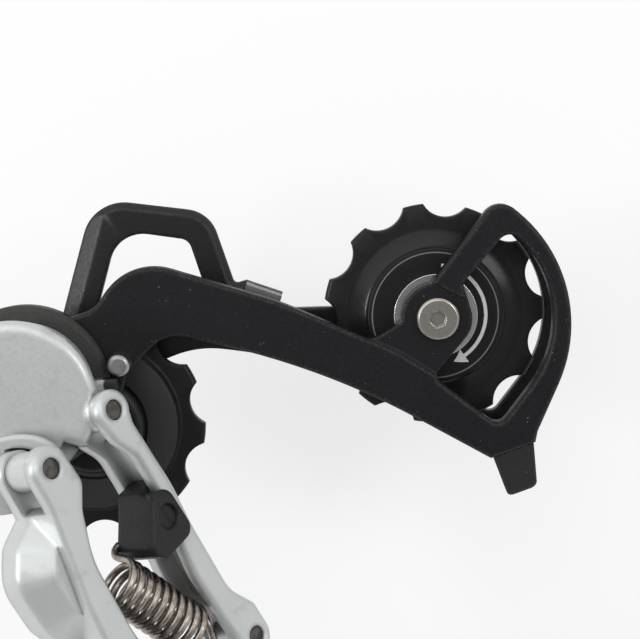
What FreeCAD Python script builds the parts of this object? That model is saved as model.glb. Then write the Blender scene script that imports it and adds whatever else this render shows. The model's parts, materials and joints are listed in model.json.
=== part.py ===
# Rear derailleur of a bicycle, in millimetres, at its rest position.
# The origin lies on the mounting bolt's axis at the hanger face: X points forward, Y up, Z outboard.
import FreeCAD, Part
import math
import os
import re
import Sketcher
from FreeCAD import Placement, Rotation, Vector

SIZES = (
    # Pulleys
    ("pulley_teeth", 11),
    ("pulley_tip_r", 22.0),
    ("pulley_root_r", 19.4),
    ("tooth_valley_r", 5.2),
    ("tooth_thick", 2.4),
    ("guide_phase", 10.0),
    ("tension_phase", 50.6),
    ("tooth_bevel", 0.5),
    ("pulley_recess", 0.5),
    ("guide_hub_thick", 5.6),
    ("guide_band_in_r", 10.6),
    ("guide_band_out_r", 16.4),
    ("guide_bush_r", 5.0),
    ("guide_cap_r", 10.0),
    ("tension_hub_thick", 5.6),
    ("tension_disc_r", 13.4),
    ("tension_dish_r", 17.2),
    ("tension_cap_r", 8.3),
    ("tension_cap_dish", 0.9),
    ("bearing_out_r", 7.0),
    ("bearing_race_r", 5.9),
    ("bearing_inner_r", 4.1),
    ("bearing_wide", 4.0),
    ("ball_count", 7),
    ("pulley_side_gap", 0.2),
    ("run_gap", 0.05),
    # Cage
    ("pulley_spacing", 71.25),
    ("cage_gap", 9.4),
    ("cage_angle", 198.2),
    ("pulley_plane_z", -10.0),
    ("pivot_back", 9.0),
    ("pivot_side", 12.2),
    ("outer_plate_thick", 2.4),
    ("outer_rib_rise", 0.8),
    ("outer_disc_over", 0.6),
    ("outer_boss_r", 6.9),
    ("plate_chamfer", 0.45),
    ("guide_boss_r", 8.0),
    ("inner_plate_thick", 2.2),
    ("hoop_bevel", 1.2),
    ("tab_thick", 2.0),
    ("tab_wide", 8.4),
    ("tab_long", 11.9),
    ("tab_turn", 1.9),
    ("tab_bend", 32.0),
    ("guard_long", 7.4),
    ("guard_thick", 1.7),
    ("guard_lip", 0.15),
    ("guard_rise", 2.0),
    ("guard_turn", 37.0),
    ("cage_bolt_r", 2.5),
    ("cage_bolt_head_r", 4.15),
    ("cage_bolt_head_high", 1.7),
    ("cage_bolt_hex_r", 1.75),
    ("cage_bolt_hex_deep", 1.3),
    ("axle_r", 5.0),
    ("axle_groove_r", 3.9),
    ("stop_pin_r", 2.2),
    ("stop_pin_high", 5.2),
    ("stop_pin_out", 3.4),
    ("stop_pin_turn", 196.0),
    # Lower knuckle
    ("lower_axis_ahead", 8.9),
    ("lower_axis_down", 8.7),
    ("lower_r", 15.6),
    ("lower_foot_r", 13.4),
    ("lower_tall", 15.1),
    ("lower_round", 1.8),
    ("seal_high", 2.4),
    ("seal_wide", 3.6),
    ("seal_over", 0.9),
    ("seal_gap", 0.1),
    ("lower_bore_tall", 4.6),
    ("lower_spring_room_r", 11.6),
    ("lower_spring_room_tall", 7.0),
    ("lower_spring_r", 8.6),
    ("lower_spring_wire", 1.8),
    ("lower_spring_pitch", 2.1),
    ("lower_spring_turns", 2),
    ("lower_post_wall", 2.4),
    ("lower_post_deep", 17.0),
    ("lower_post_rise", 4.2),
    ("lower_arm_long", 7.0),
    ("stop_lug_high", 3.0),
    ("stop_lug_wide", 2.4),
    ("stop_gap", 0.15),
    ("retainer_r", 1.5),
    # Linkage
    ("pin_tilt", 46.7),
    ("pin_heading", -160.0),
    ("link_lift", 13.2),
    ("upper_pin_x", 15.3),
    ("upper_pin_y", -14.4),
    ("upper_pin_z", 19.6),
    ("link_length", 53.9),
    ("link_spacing", 18.0),
    ("link_swing", 50.0),
    ("link_depth", 12.0),
    ("link_flange", 2.6),
    ("link_web", 2.2),
    ("outer_link_r", 4.2),
    ("inner_link_r", 3.9),
    ("link_bow", 10.4),
    ("link_flank", 4.6),
    ("link_round", 0.6),
    ("link_end_slot", 6.5),
    ("pin_r", 1.9),
    ("pin_sunk", 0.5),
    ("lug_r", 3.6),
    ("lug_side_gap", 0.15),
    ("swing_gap", 0.5),
    ("holder_from_upper", 29.6),
    ("holder_long", 11.6),
    ("holder_reach", 10.2),
    ("holder_step", 3.4),
    ("holder_lip", 1.4),
    ("holder_high", 6.4),
    ("holder_recess_r", 2.4),
    ("holder_recess_deep", 0.9),
    ("holder_pin_r", 0.8),
    ("holder_pin_aside", 0.5),
    ("holder_web", 1.2),
    ("holder_side_gap", 0.1),
    ("return_spring_r", 4.5),
    ("return_spring_wire", 1.5),
    ("return_spring_pitch", 2.1),
    ("return_spring_turns", 10),
    ("return_spring_lean", 23.0),
    ("return_spring_from", 28.0),
    ("return_spring_aside", 1.6),
    ("cable_bolt_along", 15.0),
    ("cable_washer_r", 4.4),
    ("cable_washer_thick", 1.2),
    ("cable_bolt_r", 2.0),
    ("cable_bolt_head_r", 3.6),
    ("cable_bolt_head_high", 3.2),
    # Upper knuckle
    ("hanger_thread_r", 5.0),
    ("hanger_thread_long", 9.5),
    ("bolt_shoulder_r", 6.0),
    ("bolt_head_r", 8.5),
    ("bolt_head_high", 3.6),
    ("bolt_hex_r", 2.9),
    ("bolt_hex_deep", 2.6),
    ("stop_plate_r", 13.4),
    ("stop_plate_thick", 2.4),
    ("stop_tab_high", 7.6),
    ("stop_tab_thick", 2.6),
    ("upper_r", 12.6),
    ("upper_tall", 18.5),
    ("upper_spring_room_r", 10.4),
    ("upper_spring_room_tall", 6.4),
    ("upper_spring_r", 8.4),
    ("upper_spring_wire", 1.7),
    ("upper_spring_pitch", 2.0),
    ("upper_spring_turns", 2),
    ("dust_ring_high", 1.0),
    ("dust_ring_wide", 2.0),
    ("upper_head_gap", 0.1),
    ("block_long", 13.0),
    ("block_back", 7.0),
    ("upper_arm_long", 12.0),
    ("screw_r", 1.5),
    ("screw_head_r", 2.6),
    ("screw_head_high", 2.0),
    ("screw_slot_wide", 0.7),
    ("limit_screw_long", 9.0),
    ("angle_screw_reach", 16.5),
    ("angle_screw_long", 12.5),
    ("angle_ear_wide", 5.2),
    ("angle_ear_high", 6.2),
    ("inlet_up", 8.0),
    ("inlet_out", 14.5),
    ("inlet_boss_r", 4.4),
    ("inlet_boss_end", 17.0),
    ("barrel_r", 5.6),
    ("barrel_long", 10.5),
    ("barrel_shank_r", 2.9),
    ("barrel_shank_long", 6.5),
    ("barrel_bore_r", 2.6),
    ("barrel_bore_deep", 8.0),
    ("barrel_grooves", 12),
    ("barrel_groove_r", 0.7),
    ("cable_hole_r", 0.9),
)

doc = FreeCAD.newDocument("rear_derailleur")
sheet = doc.addObject("Spreadsheet::Sheet", "sizes")
for row, (alias, value) in enumerate(SIZES, start=1):
    sheet.set("A%d" % row, alias)
    sheet.set("B%d" % row, str(value))
    sheet.setAlias("B%d" % row, alias)
doc.recompute()


class Read:
    """Sizes read back from the sheet."""


for alias, value in SIZES:
    setattr(Read, alias, float(getattr(sheet, alias)))
S = Read

X_AXIS = Vector(1, 0, 0)
Y_AXIS = Vector(0, 1, 0)
Z_AXIS = Vector(0, 0, 1)
ALONG_X = Rotation(Y_AXIS, 90)
ALONG_MINUS_X = Rotation(Y_AXIS, -90)
ALONG_Y = Rotation(X_AXIS, -90)
ALONG_MINUS_Y = Rotation(X_AXIS, 90)
UPRIGHT = Rotation()
HERE = Placement()

# Every pivot pin of the linkage is parallel; the linkage frame has its Z along the pins and X along the links.
link_turn = Rotation(Z_AXIS, S.pin_heading) * Rotation(Y_AXIS, S.pin_tilt) * Rotation(Z_AXIS, 90 + S.link_lift)
LINK = Placement(Vector(S.upper_pin_x, S.upper_pin_y, S.upper_pin_z), link_turn)
lower_pin = LINK.multVec(Vector(S.link_length, 0, 0))
# The lower knuckle's frame has its Z along the cage pivot, from the pulleys' middle plane.
LOWER = Placement(
    Vector(lower_pin.x + S.lower_axis_ahead, lower_pin.y - S.lower_axis_down, S.pulley_plane_z), UPRIGHT
)
# The cage frame starts at the guide pulley and points its X at the tension pulley.
cage_turn = Rotation(Z_AXIS, S.cage_angle)
CAGE = Placement(LOWER.Base - cage_turn.multVec(Vector(-S.pivot_back, S.pivot_side, 0)), cage_turn)

nodes = []


def bind(thing, **rules):
    for prop, rule in rules.items():
        thing.setExpression(prop, re.sub(r"[a-z][a-z_]*", r"sizes.\g<0>", rule))
    return thing


def spot(x=0.0, y=0.0, z=0.0, turn=UPRIGHT):
    return Placement(Vector(x, y, z), turn)


def cylinder(radius, height, where):
    thing = doc.addObject("Part::Cylinder", "round")
    bind(thing, Radius=radius, Height=height)
    thing.Placement = where
    return thing


def cone(foot, top, height, where):
    thing = doc.addObject("Part::Cone", "taper")
    bind(thing, Radius1=foot, Radius2=top)
    thing.Height = height
    thing.Placement = where
    return thing


def prism(sides, radius, height, where):
    thing = doc.addObject("Part::Prism", "flats")
    thing.Polygon = sides
    bind(thing, Circumradius=radius, Height=height)
    thing.Placement = where
    return thing


def box(long, wide, high, where):
    thing = doc.addObject("Part::Box", "block")
    bind(thing, Length=long, Width=wide, Height=high)
    thing.Placement = where
    return thing


def fuse(things):
    thing = doc.addObject("Part::MultiFuse", "joined")
    thing.Shapes = things
    thing.Refine = False
    return thing


def cut(base, tools):
    thing = doc.addObject("Part::Cut", "cut")
    thing.Base = base
    thing.Tool = tools[0] if len(tools) == 1 else fuse(tools)
    thing.Refine = True
    return thing


def node(thing, label, where=HERE):
    thing.Label = label
    thing.Placement = where
    nodes.append(thing)
    return thing


def new_body():
    return doc.addObject("PartDesign::Body", "body")


def sketch_on(body, role, lift=None):
    plane = next(f for f in body.Origin.OriginFeatures if f.Role == role)
    sketch = body.newObject("Sketcher::SketchObject", "outline")
    sketch.AttachmentSupport = [(plane, "")]
    sketch.MapMode = "FlatFace"
    if lift:
        bind(sketch, **{"AttachmentOffset.Base.z": lift})
    return sketch


def draw(sketch, path):
    """Draws a closed outline: a pair is a straight run to a point, two pairs are an arc through the first."""
    last = path[0]
    for step in list(path[1:]) + [path[0]]:
        if isinstance(step[0], tuple):
            middle, end = step
            sketch.addGeometry(Part.Arc(Vector(*last), Vector(*middle), Vector(*end)))
        elif step == last:
            continue
        else:
            end = step
            sketch.addGeometry(Part.LineSegment(Vector(*last), Vector(*end)))
        last = end


def rounded(corners):
    """Turns corners (x, y, radius) into a closed outline whose corners are tangent arcs."""
    path = []
    count = len(corners)
    for i, (x, y, radius) in enumerate(corners):
        here = Vector(x, y)
        if not radius:
            path.append((x, y))
            continue
        back = Vector(*corners[i - 1][:2]) - here
        ahead = Vector(*corners[(i + 1) % count][:2]) - here
        back.normalize()
        ahead.normalize()
        half = back.getAngle(ahead) / 2
        reach = radius / math.tan(half)
        inward = back + ahead
        inward.normalize()
        first = here + back * reach
        middle = here + inward * (radius / math.sin(half) - radius)
        last = here + ahead * reach
        path.append((first.x, first.y))
        path.append(((middle.x, middle.y), (last.x, last.y)))
    return path


def pad(body, corners, thick, lift=None):
    sketch = sketch_on(body, "XY_Plane", lift)
    draw(sketch, rounded(corners))
    feature = body.newObject("PartDesign::Pad", "pad")
    feature.Profile = sketch
    bind(feature, Length=thick)
    body.Tip = feature
    return feature


def pad_disc(body, centre, radius, thick, lift=None):
    sketch = sketch_on(body, "XY_Plane", lift)
    sketch.addGeometry(Part.Circle(Vector(centre[0], centre[1]), Z_AXIS, 1))
    rule = sketch.addConstraint(Sketcher.Constraint("Radius", 0, 1.0))
    bind(sketch, **{"Constraints[%d]" % rule: radius})
    feature = body.newObject("PartDesign::Pad", "pad")
    feature.Profile = sketch
    bind(feature, Length=thick)
    body.Tip = feature
    return feature


def pocket(body, corners, lift=None):
    sketch = sketch_on(body, "XY_Plane", lift)
    draw(sketch, rounded(corners))
    feature = body.newObject("PartDesign::Pocket", "pocket")
    feature.Profile = sketch
    feature.Type = "ThroughAll"
    feature.Reversed = True
    body.Tip = feature
    return feature


def turned_body(profile):
    """A body of revolution about Z whose profile corners (radius, height) are rules on the sizes."""
    body = new_body()
    sketch = sketch_on(body, "XZ_Plane")
    count = len(profile)
    for i in range(count):
        a = Vector(1 + math.cos(2 * math.pi * i / count), math.sin(2 * math.pi * i / count))
        b = Vector(1 + math.cos(2 * math.pi * (i + 1) / count), math.sin(2 * math.pi * (i + 1) / count))
        sketch.addGeometry(Part.LineSegment(a, b))
    for i in range(count):
        sketch.addConstraint(Sketcher.Constraint("Coincident", i, 2, (i + 1) % count, 1))
    for i, corner in enumerate(profile):
        for rule, way in zip(corner, ("DistanceX", "DistanceY")):
            number = sketch.addConstraint(Sketcher.Constraint(way, -1, 1, i, 1, 1.0 + i))
            bind(sketch, **{"Constraints[%d]" % number: rule})
    feature = body.newObject("PartDesign::Revolution", "turned")
    feature.Profile = sketch
    feature.ReferenceAxis = (sketch, ["V_Axis"])
    feature.Angle = 360
    body.Tip = feature
    return body


def spring(coil_r, wire, pitch, turns, sides, where):
    """A coil of straight facets about Z, its first turn's wire resting on height zero."""
    per_turn = 14
    coil = doc.addObject("Part::Polygon", "coil")
    coil.Nodes = [
        Vector(
            coil_r * math.cos(2 * math.pi * i / per_turn),
            coil_r * math.sin(2 * math.pi * i / per_turn),
            wire / 2 + pitch * i / per_turn,
        )
        for i in range(int(turns) * per_turn + 1)
    ]
    coil.Close = False
    section = doc.addObject("Part::RegularPolygon", "wire")
    section.Polygon = sides
    section.Circumradius = wire / 2
    section.Placement = spot(coil_r, 0, wire / 2, Rotation(X_AXIS, 90))
    thing = doc.addObject("Part::Sweep", "spring")
    thing.Sections = [section]
    doc.recompute()
    thing.Spine = (coil, ["Edge%d" % (i + 1) for i in range(len(coil.Shape.Edges))])
    thing.Solid = True
    thing.Transition = "Right corner"
    thing.Placement = where
    return thing


# Points of the cage, from the guide pulley's centre and from the tension pulley's, each with its corner radius
def by_guide(x, y, radius=0.0):
    return (x, y, radius)


def by_tension(x, y, radius=0.0):
    return (S.pulley_spacing + x, y, radius)


def level_edges(shape, height, wanted):
    names = []
    for i, edge in enumerate(shape.Edges, start=1):
        bounds = edge.BoundBox
        if abs(bounds.ZMin - height) < 1e-4 and abs(bounds.ZMax - height) < 1e-4 and wanted(bounds.Center):
            names.append("Edge%d" % i)
    return names


def bevel_edges(body, names, size):
    base = body.Tip
    feature = body.newObject("PartDesign::Chamfer", "border")
    feature.Base = (base, names)
    bind(feature, Size=size)
    body.Tip = feature


pivot = (-S.pivot_back, S.pivot_side)
face_out = "cage_gap / 2"
top_out = "cage_gap / 2 + outer_plate_thick + outer_rib_rise"

loop_edge = [
    by_tension(18.35, 19.2, 4.0),
    by_tension(33.05, -3.4, 29.0),
    by_tension(12.0, -27.6),
    by_tension(10.9, -29.6),
    by_tension(1.6, -29.9),
]
arm_edge = [
    by_guide(47.4, -2.6, 150.0),
    by_guide(20.0, 14.2, 7.0),
    by_guide(10.6, 9.0, 4.0),
    by_guide(6.5, 3.0),
    by_guide(-4.0, 4.0),
    by_guide(-4.0, 22.6),
    by_guide(8.2, 22.6, 6.0),
    by_guide(18.0, 30.3, 11.5),
    by_guide(43.1, 12.7, 60.0),
]
window = [
    by_tension(28.25, -8.1, 22.0),
    by_tension(5.1, -24.4, 2.2),
    by_tension(-4.35, -10.8, 1.6),
    by_tension(6.75, -3.7, 6.0),
    by_tension(6.75, 5.0, 1.0),
    by_tension(18.65, 12.5, 2.6),
]

# Outer cage plate: arm, loop round the tension pulley, pivot disc, raised border, bent tab
outer = new_body()
notch = [by_tension(-13.65, -0.2, 3.5), by_tension(-6.6, 1.5, 3.0)]
pad(outer, loop_edge + arm_edge + notch, "outer_plate_thick", face_out)
pad_disc(outer, pivot, "lower_r + outer_disc_over", "outer_plate_thick + outer_rib_rise", face_out)
pad_disc(outer, by_guide(0, 0), "guide_boss_r", "outer_plate_thick + outer_rib_rise", face_out)
pad_disc(outer, by_tension(0, 0), "outer_boss_r", "outer_plate_thick", face_out)
rib_line = [
    by_tension(-19.4, 5.0),
    by_tension(-9.1, -4.0),
    by_tension(-2.4, -12.0),
    by_tension(6.0, -18.0),
    by_tension(17.0, -8.0),
    by_tension(17.0, 4.0),
    by_tension(8.0, 0.0),
    by_tension(1.0, 6.89),
]
pad(outer, loop_edge + arm_edge + rib_line, "outer_rib_rise", "cage_gap / 2 + outer_plate_thick")
pocket(outer, window)
doc.recompute()
top_level = S.cage_gap / 2 + S.outer_plate_thick + S.outer_rib_rise
bevel_edges(outer, level_edges(outer.Shape, top_level, lambda centre: True), "plate_chamfer")
crease = Vector(*by_tension(1.6, -29.9)[:2])
tab_lean = Rotation(Z_AXIS, S.tab_turn) * Rotation(X_AXIS, S.tab_bend)
tab_root = Placement(crease + Vector(0.5, 0, S.cage_gap / 2 + 0.5), tab_lean)
tab = new_body()
tab_edge = [
    (0, 1, 0),
    (0.5, 1 - S.tab_long, 1.3),
    (S.tab_wide - 1.7, 1 - S.tab_long, 1.7),
    (S.tab_wide, 1, 0),
]
pad(tab, tab_edge, "tab_thick")
tab.Placement = tab_root
axle_hole = cylinder("axle_r", "cage_gap", spot(pivot[0], pivot[1], 0))
stop_turn = Rotation(Z_AXIS, S.stop_pin_turn - S.cage_angle)
stop_spot = Vector(pivot[0], pivot[1], 0) + stop_turn.multVec(Vector((S.lower_r + S.stop_pin_out), 0, 0))
stop_hole = cylinder("stop_pin_r", "cage_gap", Placement(stop_spot, UPRIGHT))
guide_seat = S.cage_gap / 2 + S.outer_plate_thick + S.outer_rib_rise - S.cage_bolt_head_high - 0.2
outer_holes = [
    axle_hole,
    stop_hole,
    cylinder("cage_bolt_r + run_gap", "cage_gap", spot()),
    cylinder("cage_bolt_head_r + 2 * run_gap", "cage_gap", spot(0, 0, guide_seat)),
    cylinder("cage_bolt_r + run_gap", "cage_gap", spot(S.pulley_spacing, 0, 0)),
]
node(cut(fuse([outer, tab]), outer_holes), "outer_plate", CAGE)

# Inner cage plate with the chain hoop and a guard tab that stands on an ear
guard_spot = Placement(Vector(36.6, 16.0, -S.cage_gap / 2), Rotation(Z_AXIS, -S.guard_turn))


def by_guard(along, across):
    corner = guard_spot.multVec(Vector(along, across, 0))
    return by_guide(corner.x, corner.y)


inner = new_body()
inner_edge = [
    by_guide(47.4, -2.9, 100.0),
    by_guide(24.0, 8.0, 20.0),
    by_guide(9.0, 7.0, 3.0),
    by_guide(5.0, 3.0),
    by_guide(-5.0, 0.0),
    by_guide(-8.0, 10.5, 3.0),
    by_guide(13.6, 42.8, 8.5),
    by_guide(34.9, 32.9, 7.0),
    by_guide(35.1, 17.6, 1.0),
    by_guard(-S.guard_lip, S.guard_thick + S.guard_lip),
    by_guard(S.guard_long + S.guard_lip, S.guard_thick + S.guard_lip),
    by_guide(41.6, 10.2, 1.0),
    by_tension(-1.9, 1.9, 4.0),
]
inner_loop = [by_tension(18.9, 16.2, 4.0), by_tension(31.2, -3.9, 24.0)] + loop_edge[2:]
pad(inner, inner_loop + inner_edge, "inner_plate_thick", "-cage_gap / 2 - inner_plate_thick")
pad_disc(inner, by_guide(0, 0), "guide_boss_r", "inner_plate_thick", "-cage_gap / 2 - inner_plate_thick")
pocket(inner, window, "-cage_gap")
hoop_window = [
    by_guide(16.4, 35.3, 6.9),
    by_guide(29.2, 29.0, 2.5),
    by_guide(29.2, 14.0, 2.5),
    by_guide(2.4, 14.0, 2.0),
]
pocket(inner, hoop_window, "-cage_gap")
doc.recompute()
leg = level_edges(
    inner.Shape, -S.cage_gap / 2, lambda centre: centre.x < 18.0 and centre.y > 18.0 and centre.y > 1.5 * centre.x + 17.0
)
bevel_edges(inner, leg, "hoop_bevel")
guard = box(
    "guard_long", "guard_thick", "cage_gap / 2 + guard_rise", guard_spot * spot(0, 0, -S.inner_plate_thick / 2)
)
inner_holes = [
    cylinder("cage_bolt_r", "2 * cage_gap", spot(0, 0, -S.cage_gap * 1.5)),
    cylinder("cage_bolt_r", "2 * cage_gap", spot(S.pulley_spacing, 0, -S.cage_gap * 1.5)),
]
node(cut(fuse([inner, guard]), inner_holes), "inner_plate", CAGE)


# Toothed pulleys: a turned disc whose valleys are cut round it
def pulley(label, profile, phase, where):
    body = turned_body(profile)
    sketch = sketch_on(body, "XY_Plane")
    sketch.addGeometry(Part.Circle(Vector(30, 0, 0), Z_AXIS, 1))
    rules = (
        Sketcher.Constraint("Radius", 0, 1.0),
        Sketcher.Constraint("DistanceX", -1, 1, 0, 3, 30.0),
        Sketcher.Constraint("PointOnObject", 0, 3, -1),
    )
    values = ("tooth_valley_r", "pulley_root_r + tooth_valley_r")
    for rule, value in zip(rules, values):
        bind(sketch, **{"Constraints[%d]" % sketch.addConstraint(rule): value})
    sketch.addConstraint(rules[2])
    valley = body.newObject("PartDesign::Pocket", "valley")
    valley.Profile = sketch
    valley.Type = "ThroughAll"
    valley.Midplane = True
    body.Tip = valley
    doc.recompute()
    ring = body.newObject("PartDesign::PolarPattern", "teeth")
    ring.Originals = [valley]
    ring.Axis = (sketch, ["N_Axis"])
    ring.Angle = 360
    bind(ring, Occurrences="pulley_teeth")
    body.Tip = ring
    half_pitch = 180.0 / S.pulley_teeth
    return node(body, label, where * Placement(Vector(), Rotation(Z_AXIS, phase + half_pitch)))


TENSION = CAGE * spot(S.pulley_spacing)
rim = "tooth_thick / 2"
guide_half = "guide_hub_thick / 2"
pulley(
    "guide_pulley",
    [
        ("guide_bush_r + run_gap", "-" + guide_half + " + pulley_recess"),
        ("guide_band_in_r - 0.4", "-" + guide_half + " + pulley_recess"),
        ("guide_band_in_r", "-" + guide_half),
        ("guide_band_out_r", "-" + guide_half),
        ("guide_band_out_r + 0.9", "-" + rim),
        ("pulley_tip_r - tooth_bevel", "-" + rim),
        ("pulley_tip_r", "-" + rim + " + tooth_bevel"),
        ("pulley_tip_r", rim + " - tooth_bevel"),
        ("pulley_tip_r - tooth_bevel", rim),
        ("guide_band_out_r + 0.9", rim),
        ("guide_band_out_r", guide_half),
        ("guide_band_in_r", guide_half),
        ("guide_band_in_r - 0.4", guide_half + " - pulley_recess"),
        ("guide_bush_r + run_gap", guide_half + " - pulley_recess"),
    ],
    S.guide_phase,
    CAGE,
)
tension_half = "tension_hub_thick / 2"
pulley(
    "tension_pulley",
    [
        ("bearing_out_r", "-" + tension_half),
        ("tension_disc_r", "-" + tension_half),
        ("tension_disc_r + 0.1", "-" + tension_half + " + pulley_recess"),
        ("tension_dish_r", "-" + rim),
        ("pulley_tip_r - tooth_bevel", "-" + rim),
        ("pulley_tip_r", "-" + rim + " + tooth_bevel"),
        ("pulley_tip_r", rim + " - tooth_bevel"),
        ("pulley_tip_r - tooth_bevel", rim),
        ("tension_dish_r", rim),
        ("tension_disc_r + 0.1", tension_half + " - pulley_recess"),
        ("tension_disc_r", tension_half),
        ("bearing_out_r", tension_half),
    ],
    S.tension_phase,
    TENSION,
)


# Pulley bearings, caps and bolts
def ring_of(outer_r, inner_r, low, high):
    return turned_body([(inner_r, low), (outer_r, low), (outer_r, high), (inner_r, high)])


bearing_half = "bearing_wide / 2"
node(
    ring_of("bearing_out_r", "bearing_race_r", "-" + bearing_half, bearing_half),
    "bearing_outer_ring",
    TENSION,
)
node(
    turned_body(
        [
            ("cage_bolt_r + run_gap", "-cage_gap / 2"),
            ("bearing_inner_r - 0.5", "-cage_gap / 2"),
            ("bearing_inner_r - 0.5", "-" + bearing_half),
            ("bearing_inner_r", "-" + bearing_half),
            ("bearing_inner_r", bearing_half),
            ("bearing_inner_r - 0.5", bearing_half),
            ("bearing_inner_r - 0.5", "cage_gap / 2"),
            ("cage_bolt_r + run_gap", "cage_gap / 2"),
        ]
    ),
    "bearing_inner_ring",
    TENSION,
)
ball_path = (S.bearing_race_r + S.bearing_inner_r) / 2
balls = [
    ring_of(
        "(bearing_race_r + bearing_inner_r) / 2 + 0.4",
        "(bearing_race_r + bearing_inner_r) / 2 - 0.4",
        "-0.4",
        "0.4",
    )
]
for i in range(int(S.ball_count)):
    ball = doc.addObject("Part::Sphere", "ball")
    bind(ball, Radius="(bearing_race_r - bearing_inner_r) / 2 - run_gap")
    ball_turn = Placement(Vector(), Rotation(Z_AXIS, 360.0 * i / S.ball_count))
    ball.Placement = ball_turn * spot(ball_path, 0, 0, ALONG_X)
    balls.append(ball)
node(fuse(balls), "bearing_balls", TENSION)

for label, turn in (("tension_cap_outer", UPRIGHT), ("tension_cap_inner", Rotation(X_AXIS, 180))):
    cap = turned_body(
        [
            ("bearing_inner_r - 0.5", "cage_gap / 2 - tension_cap_dish - 0.5"),
            ("tension_cap_r - 1.4", "cage_gap / 2 - tension_cap_dish - 0.5"),
            ("tension_cap_r", "tension_hub_thick / 2 + pulley_side_gap"),
            ("tension_cap_r", "tension_hub_thick / 2 + pulley_side_gap + 0.9"),
            ("tension_cap_r - 1.6", "cage_gap / 2 - tension_cap_dish"),
            ("bearing_inner_r - 0.5", "cage_gap / 2 - tension_cap_dish"),
        ]
    )
    node(cap, label, TENSION * Placement(Vector(), turn))
for label, turn in (("guide_cap_outer", UPRIGHT), ("guide_cap_inner", Rotation(X_AXIS, 180))):
    cap = turned_body(
        [
            ("guide_bush_r", "guide_hub_thick / 2 - pulley_recess + pulley_side_gap"),
            ("guide_cap_r", "guide_hub_thick / 2 - pulley_recess + pulley_side_gap"),
            ("guide_cap_r", "cage_gap / 2 - 0.9"),
            ("guide_cap_r - 0.9", "cage_gap / 2"),
            ("guide_bush_r", "cage_gap / 2"),
        ]
    )
    node(cap, label, CAGE * Placement(Vector(), turn))
node(
    ring_of("guide_bush_r", "cage_bolt_r + run_gap", "-cage_gap / 2", "cage_gap / 2"),
    "guide_bush",
    CAGE,
)


def cage_bolt(label, seat_rule, seat, where):
    """A socket bolt from its seat under the head to the outer side of the inner plate."""
    shaft = turned_body(
        [
            ("0", "-cage_gap / 2 - inner_plate_thick"),
            ("cage_bolt_r", "-cage_gap / 2 - inner_plate_thick"),
            ("cage_bolt_r", seat_rule),
            ("cage_bolt_head_r", seat_rule),
            ("cage_bolt_head_r", seat_rule + " + cage_bolt_head_high - 0.4"),
            ("cage_bolt_head_r - 0.4", seat_rule + " + cage_bolt_head_high"),
            ("0", seat_rule + " + cage_bolt_head_high"),
        ]
    )
    socket = prism(
        6,
        "cage_bolt_hex_r",
        "cage_bolt_head_high",
        spot(0, 0, seat + S.cage_bolt_head_high - S.cage_bolt_hex_deep),
    )
    node(cut(shaft, [socket]), label, where)


tension_seat_rule = "cage_gap / 2 + outer_plate_thick"
guide_seat_rule = "cage_gap / 2 + outer_plate_thick + outer_rib_rise - cage_bolt_head_high - 0.2"
cage_bolt("tension_bolt", tension_seat_rule, S.cage_gap / 2 + S.outer_plate_thick, TENSION)
cage_bolt("guide_bolt", guide_seat_rule, guide_seat, CAGE)

# Cage axle fixed in the outer plate, and the stop pin
knuckle_foot = "cage_gap / 2 + outer_plate_thick + outer_rib_rise + seal_gap + seal_high"
foot = S.cage_gap / 2 + S.outer_plate_thick + S.outer_rib_rise + S.seal_gap + S.seal_high
bore_low = knuckle_foot + " + lower_spring_room_tall"
bore_top = bore_low + " + lower_bore_tall"
groove_low = bore_low + " + lower_bore_tall / 2 - retainer_r - 2 * run_gap"
groove_top = bore_low + " + lower_bore_tall / 2 + retainer_r + 2 * run_gap"
node(
    turned_body(
        [
            ("0", "cage_gap / 2"),
            ("axle_r", "cage_gap / 2"),
            ("axle_r", groove_low),
            ("axle_groove_r", groove_low),
            ("axle_groove_r", groove_top),
            ("axle_r", groove_top),
            ("axle_r", bore_top + " - 0.6"),
            ("axle_r - 0.5", bore_top + " - 0.1"),
            ("0", bore_top + " - 0.1"),
        ]
    ),
    "cage_axle",
    LOWER,
)
stop_pin = turned_body(
    [
        ("0", "cage_gap / 2"),
        ("stop_pin_r", "cage_gap / 2"),
        ("stop_pin_r", top_out + " + stop_pin_high - 0.7"),
        ("stop_pin_r - 0.25", top_out + " + stop_pin_high - 0.3"),
        ("stop_pin_r - 0.9", top_out + " + stop_pin_high"),
        ("0", top_out + " + stop_pin_high"),
    ]
)
node(stop_pin, "stop_pin", CAGE * Placement(stop_spot, UPRIGHT))


# Links: a bowed channel bar with an ear round each pin, open at its ends for the knuckles' lugs
def link(radius, radius_rule, edge, hollow_edge):
    """edge is the bar's outline between its two end ears, hollow_edge the outline of its channel."""
    body = new_body()
    pad(body, edge, "link_depth", "-link_depth")
    for x in (0, S.link_length):
        pad_disc(body, (x, 0), radius_rule, "link_depth", "-link_depth")
    doc.recompute()
    bevel_edges(body, level_edges(body.Shape, 0, lambda centre: True), "link_round")
    hollow = "link_depth - 2 * link_flange"
    low = -S.link_depth + S.link_flange
    wide = 8 * radius
    tools = []
    for x, slot_from in ((0, -2 * radius), (S.link_length, S.link_length - S.link_end_slot)):
        tools.append(
            box("link_end_slot + 2 * " + radius_rule, "8 * " + radius_rule, hollow, spot(slot_from, -wide / 2, low))
        )
        tools.append(cylinder("pin_r + run_gap", "2 * link_depth", spot(x, 0, -1.5 * S.link_depth)))
    channel = new_body()
    pad(channel, hollow_edge, hollow)
    channel.Placement = spot(0, 0, low)
    tools.append(channel)
    return body, tools


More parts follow.
